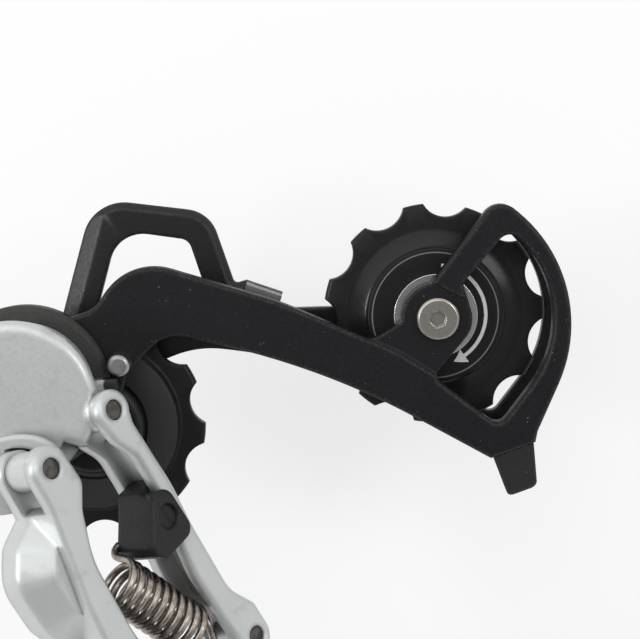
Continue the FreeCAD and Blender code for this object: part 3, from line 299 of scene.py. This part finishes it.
def silver_body(name, dark_spot=None):
    """Silver paint with painted shade in its corners, and greasy dirt with painted shade in its crevices;
    dark_spot is a point round which the stop lug is painted black as shade.
    """
    look = Look(name, (0.48, 0.50, 0.50), 0.36, 0.5)
    tone = look.mix(look.noise(9.0), SILVER_LOW, SILVER_HIGH)
    tone = look.stain(tone, look.noise(0.4), 0.12, SILVER_FLAKE)
    # Painted shade: darker towards corners and hollows
    tone = look.mix(look.spread(look.hollow(7.0), 0.3, 0.85, 0.0, 0.76), tone, CORNER_SHADE)
    # Greasy dirt and painted shade, darker in the crevices
    crevice_mask = look.times(look.spread(look.hollow(2.6), 0.36, 0.85), look.spread(look.noise(1.5, 4.0), 0.2, 0.6))
    tone = look.stain(tone, crevice_mask, 0.88, GREASE_AND_SHADE)
    tone = look.stain(tone, look.spread(look.noise(5.0, 5.0), 0.60, 0.74), 0.22, SMEAR)
    # Painted shade: the stop lug is painted black round dark_spot
    if dark_spot:
        tone = look.mix(look.near(dark_spot, 2.2, 2.6), tone, LUG_SHADE)
    look.colour(tone)
    look.mottle(0.31, 0.40, 0.6)
    look.bump(look.noise(0.18), 0.004, 0.1, 1.5)
    look.coat(0.3, 0.25)
    return look.mat


PULLEY_LOW = (0.0034, 0.0034, 0.0039)
PULLEY_HIGH = (0.0070, 0.0070, 0.0076)
PULLEY_PALE = (0.05, 0.049, 0.05)
PULLEY_DUST_AND_HIGHLIGHT = (0.30, 0.30, 0.31)
PULLEY_WEAR_AND_HIGHLIGHT = (0.14, 0.14, 0.15)
PULLEY_INK = (0.66, 0.67, 0.68)
RIM_END = 40.0
DISC_LINE_R = 12.5


def pulley_plastic(name, centre, bands):
    """Moulded black plastic; bands are (inner, outer, roughness, paleness) rings about the axle."""
    look = Look(name, (0.012, 0.012, 0.013), 0.5)
    look.gloss(0.24)
    tone = look.mix(look.noise(2.5, 4.0), PULLEY_LOW, PULLEY_HIGH)
    reach = look.radius_from(centre)
    rough = look.spread(look.noise(0.4, 3.0), 0.3, 0.7, -0.06, 0.06)
    for inner, outer, value, pale in bands:
        inside = look.ring(reach, inner, outer)
        tone = look.stain(tone, inside, pale, PULLEY_PALE)
        rough = look.math("ADD", rough, look.times(inside, value))
    dust = look.times(look.spread(look.cells(0.6), 0.14, 0.06), look.spread(look.noise(4.0), 0.58, 0.7))
    tone = look.stain(tone, dust, 0.3, PULLEY_DUST_AND_HIGHLIGHT)
    # Lighter edges: partly wear, partly a painted highlight along them
    wear_and_highlight = look.times(look.edge(0.3), look.spread(look.noise(1.2, 3.0), 0.45, 0.7))
    tone = look.stain(tone, wear_and_highlight, 0.25, PULLEY_WEAR_AND_HIGHLIGHT)
    look.roughness(rough)
    look.bump(look.noise(0.25), 0.012, 0.2)
    return look, tone, reach


def guide_plastic():
    """The guide pulley's plastic, with a paler raised band."""
    bands = ((0, 10.6, 0.5, 0.1), (10.6, 16.6, 0.5, 0.6), (16.6, RIM_END, 0.4, 0.05))
    look, tone, _ = pulley_plastic("guide_plastic", GUIDE, bands)
    look.colour(tone)
    return look.mat


def tension_plastic():
    """The tension pulley's plastic, with a glossy dish, a painted highlight line round its disc's edge and a
    printed arrow.
    """
    bands = ((0, 13.5, 0.45, 0.0), (13.5, 17.4, 0.22, 0.12), (17.4, RIM_END, 0.42, 0.05))
    look, tone, reach = pulley_plastic("tension_plastic", TENSION, bands)
    # Painted highlight: a thin pale line round the edge of the disc
    tone = look.stain(tone, look.ring(reach, DISC_LINE_R - 0.12, DISC_LINE_R + 0.12, 0.05), 0.5, PULLEY_DUST_AND_HIGHLIGHT)
    mark = look.arrow(TENSION, 10.0, 0.7, -68.0, -54.0, 84.0)
    worn_ink = look.spread(look.noise(0.8, 4.0), 0.30, 0.42, 0.5, 0.95)
    look.colour(look.stain(tone, mark, worn_ink, PULLEY_INK))
    return look.mat


def dark_plastic():
    look = Look("dark_plastic", (0.014, 0.014, 0.016), 0.45)
    look.gloss(0.3)
    tone = look.mix(look.noise(1.2, 3.0), (0.008, 0.008, 0.010), (0.016, 0.016, 0.018))
    crevice_mask = look.spread(look.hollow(2.0), 0.4, 0.9, 0.0, 0.5)
    look.colour(look.mix(crevice_mask, tone, (0.03, 0.024, 0.018)))
    look.mottle(0.36, 0.52)
    look.bump(look.noise(0.2), 0.015, 0.3, 1.2)
    return look.mat


def seal_rubber():
    look = Look("seal_rubber", (0.02, 0.02, 0.02), 0.6)
    look.gloss(0.3)
    look.colour(look.mix(look.noise(1.5, 4.0), (0.026, 0.026, 0.025), (0.050, 0.049, 0.047)))
    look.mottle(0.5, 0.68)
    look.bump(look.noise(0.3, 3.0), 0.02, 0.35)
    return look.mat


def steel(name, light, dark, rough_low, rough_high, grease_and_shade=0.0):
    """Bare metal of two tones, darker in its crevices: a greasy film there, and painted shade."""
    look = Look(name, light, rough_low, 1.0)
    tone = look.mix(look.spread(look.noise(1.4, 4.0), 0.35, 0.7), light, dark)
    # Greasy film and painted shade in the crevices
    if grease_and_shade:
        tone = look.stain(tone, look.spread(look.hollow(1.6), 0.3, 0.85), grease_and_shade, (0.05, 0.038, 0.028))
    look.colour(tone)
    look.mottle(rough_low, rough_high)
    look.bump(look.noise(0.15), 0.006, 0.3)
    return look.mat


def turned_steel(name, light, centre, rough_low, rough_high, shade_reach_mm=1.6):
    """Pressed and turned metal with fine rings about its axle, and painted shade in its sockets and crevices."""
    look = Look(name, light, rough_low, 1.0)
    rings = look.add("ShaderNodeTexNoise", noise_dimensions="1D")
    look.join(look.radius_from(centre), rings.inputs["W"])
    rings.inputs["Scale"].default_value = 9.0
    rings.inputs["Detail"].default_value = 3.0
    dark = tuple(0.8 * c for c in light)
    tone = look.mix(look.spread(rings.outputs["Fac"], 0.35, 0.7), light, dark)
    # Painted shade: darker in sockets and crevices
    socket_shade = look.spread(look.hollow(shade_reach_mm), 0.35, 0.85, 0.0, 0.9)
    look.colour(look.mix(socket_shade, tone, (0.02, 0.018, 0.016)))
    look.roughness(look.spread(rings.outputs["Fac"], 0.3, 0.7, rough_low, rough_high))
    look.bump(rings.outputs["Fac"], 0.012, 0.4)
    return look.mat


def joint(name):
    return next(j for j in frame["joints"] if j["name"] == name)


def joint_at(name):
    return Vector(joint(name)["pos_m"])


STOP_LUG = (0.0328, -0.0712, 0.0019)
GUARD_FROM = -14.5
GUIDE = joint_at("guide_spin")
TENSION = joint_at("tension_spin")
CAP_STEEL = (0.66, 0.66, 0.67)
NICKEL = (0.50, 0.48, 0.43)

# A look for every material slot, and for the pieces that differ from their slot
LOOKS = {
    "black_plate": black_plate("black_plate", 0.25, 0.46),
    "silver_body": silver_body("silver_body"),
    "dark_plastic": dark_plastic(),
    "seal_rubber": seal_rubber(),
    "spring_steel": steel("spring_steel", (0.42, 0.38, 0.34), (0.24, 0.205, 0.18), 0.24, 0.4, 0.95),
    "bright_steel": steel("bright_steel", (0.50, 0.485, 0.45), (0.43, 0.415, 0.385), 0.26, 0.34),
    "dark_steel": steel("dark_steel", (0.12, 0.115, 0.105), (0.06, 0.057, 0.052), 0.36, 0.5, 0.5),
    "bearing_steel": steel("bearing_steel", (0.62, 0.62, 0.63), (0.5, 0.5, 0.51), 0.2, 0.3),
}
OWN_LOOKS = {
    "lower_knuckle": silver_body("lower_knuckle_silver", STOP_LUG),
    "inner_plate": black_plate("hoop_plate", 0.36, 0.36, GUARD_FROM),
    "guide_pulley": guide_plastic(),
    "tension_pulley": tension_plastic(),
    "tension_cap_outer": turned_steel("cap_outer_steel", CAP_STEEL, TENSION, 0.2, 0.32, 0.25),
    "tension_cap_inner": turned_steel("cap_inner_steel", CAP_STEEL, TENSION, 0.2, 0.32, 0.25),
    "tension_bolt": turned_steel("tension_bolt_nickel", NICKEL, TENSION, 0.24, 0.34),
    "guide_bolt": turned_steel("guide_bolt_nickel", NICKEL, GUIDE, 0.24, 0.34),
    "stop_pin": steel("stop_pin_steel", (0.36, 0.36, 0.36), (0.30, 0.30, 0.30), 0.3, 0.36),
}

# Every CAD piece: its finish, merged flats and small rounded edges
EDGE_MM = {"silver_body": 0.35, "black_plate": 0.3, "dark_plastic": 0.25, "seal_rubber": 0.2}
OWN_EDGE_MM = {"spring_holder": 1.8, "outer_link": 0.8, "inner_link": 0.5}
PLAIN_EDGE_MM = 0.12
FLAT_DEG = 0.2
EDGE_DEG = 35.0


def dress(piece, name):
    """Gives a piece the look and the modifiers of a CAD node."""
    piece.data.materials.clear()
    piece.data.materials.append(OWN_LOOKS.get(name) or LOOKS[SLOT_OF[name]])
    weld = piece.modifiers.new("weld", "WELD")
    weld.merge_threshold = MERGE_MM * MM
    flat = piece.modifiers.new("flats", "DECIMATE")
    flat.decimate_type = "DISSOLVE"
    flat.angle_limit = math.radians(FLAT_DEG)
    edge = piece.modifiers.new("edges", "BEVEL")
    edge.width = OWN_EDGE_MM.get(name, EDGE_MM.get(SLOT_OF[name], PLAIN_EDGE_MM)) * MM
    edge.segments = 3
    edge.limit_method = "ANGLE"
    edge.angle_limit = math.radians(EDGE_DEG)
    shade = piece.modifiers.new("shade", "WEIGHTED_NORMAL")
    shade.mode = "FACE_AREA"
    shade.weight = 50
    for face in piece.data.polygons:
        face.use_smooth = True


for name, piece in NODES.items():
    dress(piece, name)


def new_piece(name, bm):
    """An object in the scene with the faces of a bmesh, which is freed."""
    bmesh.ops.recalc_face_normals(bm, faces=bm.faces)
    mesh = bpy.data.meshes.new(name)
    bm.to_mesh(mesh)
    bm.free()
    made = bpy.data.objects.new(name, mesh)
    bpy.context.scene.collection.objects.link(made)
    return made


# Hoop: the inner plate with a broad facet ground along the hoop's forward leg, in millimetres
HOOP_LINE = (Vector((48.6, -68.2, 0)), Vector((38.17, -105.65, 0)))
HOOP_TOP = -14.7
FACET_WIDE = 3.0
FACET_DEEP = 1.6
along_leg = (HOOP_LINE[1] - HOOP_LINE[0]).normalized()
into_leg = along_leg.cross(Vector((0, 0, 1)))
if into_leg.x > 0:
    into_leg = -into_leg
facet_from = HOOP_LINE[0] + into_leg * FACET_WIDE + Vector((0, 0, HOOP_TOP))
facet_way = Vector((0, 0, FACET_WIDE)) - into_leg * FACET_DEEP
bm = bmesh.new()
bm.from_mesh(NODES["inner_plate"].data)
bmesh.ops.remove_doubles(bm, verts=bm.verts, dist=MERGE_MM * MM)
ground = bmesh.ops.bisect_plane(
    bm,
    geom=bm.verts[:] + bm.edges[:] + bm.faces[:],
    plane_co=facet_from * MM,
    plane_no=facet_way.normalized(),
    clear_outer=True,
)
bmesh.ops.edgenet_fill(bm, edges=[e for e in ground["geom_cut"] if isinstance(e, bmesh.types.BMEdge)])
hoop = new_piece("hoop_plate", bm)
dress(hoop, "inner_plate")
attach(hoop, "cage_group")
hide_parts("inner_plate")

# Pulleys: turned profiles with toothed rims, lying where their solids are, in millimetres
TEETH = 11
TIP_R = 22.0
ROOT_R = 19.4
VALLEY_R = 5.2
VALLEY_AT = ROOT_R + VALLEY_R
VALLEY_STEPS = 9
TIP_STEPS = 5
RIM_HALF = 1.2
RIM_FROM = 18.0
TIP_BEVEL = 0.5
RIM_ROUND = ((0.9, 0.0), (0.30, 0.0), (0.10, 0.05), (0.0, 0.22))
SHARP_DEG = 38.0


def tooth_outline(valley):
    """Points (angle, radius) round a toothed rim with the middle of one valley at valley degrees."""
    pitch = 2 * math.pi / TEETH
    cos_tip = (TIP_R ** 2 + VALLEY_AT ** 2 - VALLEY_R ** 2) / (2 * TIP_R * VALLEY_AT)
    tip_from = math.acos(cos_tip)
    sweep = math.asin(TIP_R * math.sin(tip_from) / VALLEY_R)
    outline = []
    for tooth in range(TEETH):
        start = math.radians(valley) + tooth * pitch
        for k in range(-VALLEY_STEPS, VALLEY_STEPS + 1):
            across = VALLEY_R * math.sin(sweep * k / VALLEY_STEPS)
            along = VALLEY_AT - VALLEY_R * math.cos(sweep * k / VALLEY_STEPS)
            outline.append((start + math.atan2(across, along), math.hypot(across, along)))
        for k in range(1, TIP_STEPS):
            outline.append((start + tip_from + (pitch - 2 * tip_from) * k / TIP_STEPS, TIP_R))
    return outline


def toothed_wheel(name, node, body, centre, valley, profile):
    """A wheel whose profile holds (radius, half thickness) pairs from the bore to the rim."""
    bm = bmesh.new()
    rays = []
    for angle, rim in tooth_outline(valley):
        section = list(profile)
        for inset, drop in RIM_ROUND:
            reach = rim - inset
            section.append((reach, RIM_HALF - drop - max(0.0, reach - TIP_R + TIP_BEVEL)))
        way = Vector((math.cos(angle), math.sin(angle), 0))
        front = [bm.verts.new(centre + (way * r + Vector((0, 0, z))) * MM) for r, z in section]
        rear = [bm.verts.new(centre + (way * r - Vector((0, 0, z))) * MM) for r, z in section]
        rays.append(front + rear[::-1])
    for here, ahead in zip(rays, rays[1:] + rays[:1]):
        for k in range(len(here)):
            bm.faces.new((here[k - 1], here[k], ahead[k], ahead[k - 1]))
    made = new_piece(name, bm)
    for face in made.data.polygons:
        face.use_smooth = True
    made.data.set_sharp_from_angle(angle=math.radians(SHARP_DEG))
    made.data.materials.append(OWN_LOOKS[node])
    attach(made, body)
    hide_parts(node)


DISH_FROM, DISH_WIDE, DISH_DEEP, DISH_CURVE, DISH_STEPS = 13.6, 3.8, 1.0, 1.7, 10
DISH = [
    (DISH_FROM + DISH_WIDE * k / DISH_STEPS, RIM_HALF + DISH_DEEP * (1 - k / DISH_STEPS) ** DISH_CURVE)
    for k in range(DISH_STEPS + 1)
]
TENSION_PROFILE = [
    (7.0, 2.6), (7.2, 2.8), (9.0, 2.8), (11.0, 2.8), (13.0, 2.8), (13.25, 2.76), (13.4, 2.62), (13.46, 2.4),
    *DISH, (RIM_FROM, RIM_HALF),
]
GUIDE_PROFILE = [
    (5.05, 2.15), (5.2, 2.3), (7.5, 2.3), (10.0, 2.3), (10.2, 2.34), (10.5, 2.72), (10.7, 2.8), (13.5, 2.8),
    (16.1, 2.8), (16.4, 2.68), (16.7, 2.1), (17.0, 1.5), (17.3, 1.24), (17.6, RIM_HALF), (RIM_FROM, RIM_HALF),
]
TENSION_VALLEY_DEG = 3.35
GUIDE_VALLEY_DEG = 28.2
toothed_wheel("tension_wheel", "tension_pulley", "tension_group", TENSION, TENSION_VALLEY_DEG, TENSION_PROFILE)
toothed_wheel("guide_wheel", "guide_pulley", "guide_group", GUIDE, GUIDE_VALLEY_DEG, GUIDE_PROFILE)

# Return spring: a smooth wire coil with a hook at its head and a long tail, lying where its solid is
LINK_AT = joint_at("link_swing")
LINK_X = (joint_at("lower_knuckle_swing") - LINK_AT).normalized()
LINK_Z = -Vector(joint("link_swing")["axis"]).normalized()
LINK_Y = LINK_Z.cross(LINK_X)


def link_point(x, y, z):
    """A point in millimetres: x along the links, y outward, z along the pins from their middle."""
    return LINK_AT + (LINK_X * x + LINK_Y * y + LINK_Z * z) * MM


def smooth_line(knots, steps):
    """Points on a smooth line through every knot."""
    line = []
    for i in range(len(knots) - 1):
        a = knots[max(i - 1, 0)]
        b = knots[i]
        c = knots[i + 1]
        d = knots[min(i + 2, len(knots) - 1)]
        square = 2 * a - 5 * b + 4 * c - d
        cube = 3 * b - a - 3 * c + d
        for k in range(steps):
            s = k / steps
            line.append(0.5 * (2 * b + (c - a) * s + square * s * s + cube * s ** 3))
    line.append(knots[-1])
    return line


def wire(name, line, radius_mm, sides):
    """A closed round wire along a line of points."""
    bm = bmesh.new()
    side = (line[1] - line[0]).orthogonal().normalized()
    rings = []
    for i, at in enumerate(line):
        along = (line[min(i + 1, len(line) - 1)] - line[max(i - 1, 0)]).normalized()
        side = (side - along * side.dot(along)).normalized()
        other = along.cross(side)
        ring = []
        for k in range(sides):
            angle = 2 * math.pi * k / sides
            way = side * math.cos(angle) + other * math.sin(angle)
            ring.append(bm.verts.new(at + way * radius_mm * MM))
        rings.append(ring)
    for near, far in zip(rings, rings[1:]):
        for k in range(sides):
            bm.faces.new((near[k], near[(k + 1) % sides], far[(k + 1) % sides], far[k]))
    bm.faces.new(list(reversed(rings[0])))
    bm.faces.new(rings[-1])
    made = new_piece(name, bm)
    for face in made.data.polygons:
        face.use_smooth = len(face.vertices) == 4
    return made


COIL_FROM = (28.0, -1.6)
COIL_LEAN = math.radians(23.0)
COIL_R = 4.5
COIL_WIRE_R = 0.75
COIL_PITCH = 2.1
COIL_TURNS = 10
KNOTS_PER_TURN = 12
STEPS_PER_KNOT = 3
WIRE_SIDES = 10
HOOK = ((30.2, -9.0, -3.4), (30.0, -7.4, -3.2), (29.5, -6.2, -2.0))
TAIL = (
    (7.6, -13.0, 1.6), (5.0, -12.6, 1.2), (2.5, -12.1, 0.8), (0.0, -11.6, 0.4),
    (-2.4, -11.25, 0.25), (-4.8, -10.9, 0.1), (-7.2, -10.6, 0.0),
)
along_x, along_y = -math.cos(COIL_LEAN), -math.sin(COIL_LEAN)
turns = []
for step in range(COIL_TURNS * KNOTS_PER_TURN + 1):
    turned = step / KNOTS_PER_TURN
    angle = 2 * math.pi * turned
    ahead = COIL_WIRE_R + COIL_PITCH * turned
    aside = COIL_R * math.cos(angle)
    turns.append((
        COIL_FROM[0] + along_x * ahead - along_y * aside,
        COIL_FROM[1] + along_y * ahead + along_x * aside,
        COIL_R * math.sin(angle),
    ))
coil_line = smooth_line([link_point(*knot) for knot in (*HOOK, *turns, *TAIL)], STEPS_PER_KNOT)
coil = wire("return_coil", coil_line, COIL_WIRE_R, WIRE_SIDES)
coil.data.materials.append(LOOKS["spring_steel"])
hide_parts("return_spring")
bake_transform(coil)

# Floor: pale paper, so low that the cage stays above it when the linkage swings it 32.5 mm inboard.
# Around the object it shows the shadow; farther off it fades into the white behind it
FLOOR_SIZE = 6.0
SWING_ROOM = 0.0332
PAPER = (0.96, 0.96, 0.962, 1)
WHITE = (1, 1, 1, 1)
FADE_FROM, FADE_TO = 0.06, 0.50
WHITE_SHARE = 0.70
centre = (cad_low + cad_high) / 2
bpy.ops.mesh.primitive_plane_add(size=FLOOR_SIZE, location=(centre.x, centre.y, cad_low.z - SWING_ROOM))
floor = bpy.context.object
floor.name = "floor"
floor_mat = bpy.data.materials.new("floor")
floor_mat.use_nodes = True
sheet = Nodes(floor_mat.node_tree)
sheet.tree.nodes.clear()
paper = sheet.add("ShaderNodeBsdfDiffuse")
paper.inputs["Color"].default_value = PAPER
white = sheet.add("ShaderNodeEmission")
white.inputs["Color"].default_value = WHITE
reach = sheet.add("ShaderNodeVectorMath", operation="LENGTH")
sheet.join(sheet.add("ShaderNodeTexCoord").outputs["Object"], reach.inputs[0])
fade = sheet.ramp(reach.outputs["Value"], FADE_FROM, FADE_TO, WHITE_SHARE, 1.0)
seen = sheet.any_ray("Is Camera Ray", "Is Glossy Ray", "Is Transmission Ray")
blend = sheet.add("ShaderNodeMixShader")
sheet.join(sheet.times(seen, fade), blend.inputs["Fac"])
sheet.join(paper.outputs[0], blend.inputs[1])
sheet.join(white.outputs[0], blend.inputs[2])
sheet.join(blend.outputs[0], sheet.add("ShaderNodeOutputMaterial").inputs["Surface"])
floor.data.materials.append(floor_mat)

# World: white where it is seen, dimmer as light; mirrored, it is white low down and darker overhead
SKY_LIGHT = 0.38
MIRROR_LOW, MIRROR_HIGH = 0.25, 0.95
MIRROR_TOP = 0.22
world = bpy.data.worlds.new("studio")
bpy.context.scene.world = world
world.use_nodes = True
sky = Nodes(world.node_tree)
backdrop = sky.tree.nodes["Background"]
backdrop.inputs["Color"].default_value = WHITE
height = sky.add("ShaderNodeSeparateXYZ")
sky.join(sky.add("ShaderNodeTexCoord").outputs["Generated"], height.inputs["Vector"])
mirrored = sky.ramp(height.outputs["Z"], MIRROR_LOW, MIRROR_HIGH, 1.0, MIRROR_TOP)
unseen = sky.ramp(sky.any_ray("Is Glossy Ray"), 0.0, 1.0, SKY_LIGHT, mirrored)
level = sky.ramp(sky.any_ray("Is Camera Ray", "Is Transmission Ray"), 0.0, 1.0, unseen, 1.0)
sky.join(level, backdrop.inputs["Strength"])


def lamp(name, offset, size, power):
    """A round soft lamp that points at the middle of the object; metres and watts."""
    data = bpy.data.lights.new(name, "AREA")
    data.shape = "DISK"
    data.size = size
    data.energy = power
    made = bpy.data.objects.new(name, data)
    bpy.context.scene.collection.objects.link(made)
    made.location = centre + Vector(offset)
    made.rotation_mode = "QUATERNION"
    made.rotation_quaternion = (-Vector(offset)).to_track_quat("-Z", "Y")


lamp("top_lamp", (0.20, -0.45, 0.70), 1.0, 3.1)
lamp("side_lamp", (0.64, -0.08, 0.48), 0.26, 2.4)
lamp("fill_lamp", (-0.50, -0.30, 0.60), 0.35, 1.4)

# Camera at the photograph's viewing angle
LENS_MM = 90.17
SENSOR_MM = 36.0
CLIP_START = 0.01
CAMERA_AT = Vector((1.03, -125.648, 306.449)) * MM
CAMERA_RIGHT = Vector((-0.99966, 0.0, 0.026))
CAMERA_BACK = Vector((0.02575, -0.13705, 0.99023)).normalized()
camera_data = bpy.data.cameras.new("camera")
camera_data.lens = LENS_MM
camera_data.sensor_width = SENSOR_MM
camera_data.clip_start = CLIP_START
camera = bpy.data.objects.new("camera", camera_data)
bpy.context.scene.collection.objects.link(camera)
camera_up = CAMERA_BACK.cross(CAMERA_RIGHT).normalized()
camera_turn = Matrix((camera_up.cross(CAMERA_BACK), camera_up, CAMERA_BACK)).transposed().to_4x4()
camera.matrix_world = Matrix.Translation(CAMERA_AT) @ camera_turn
bpy.context.scene.camera = camera
bpy.context.scene.view_settings.view_transform = "Standard"
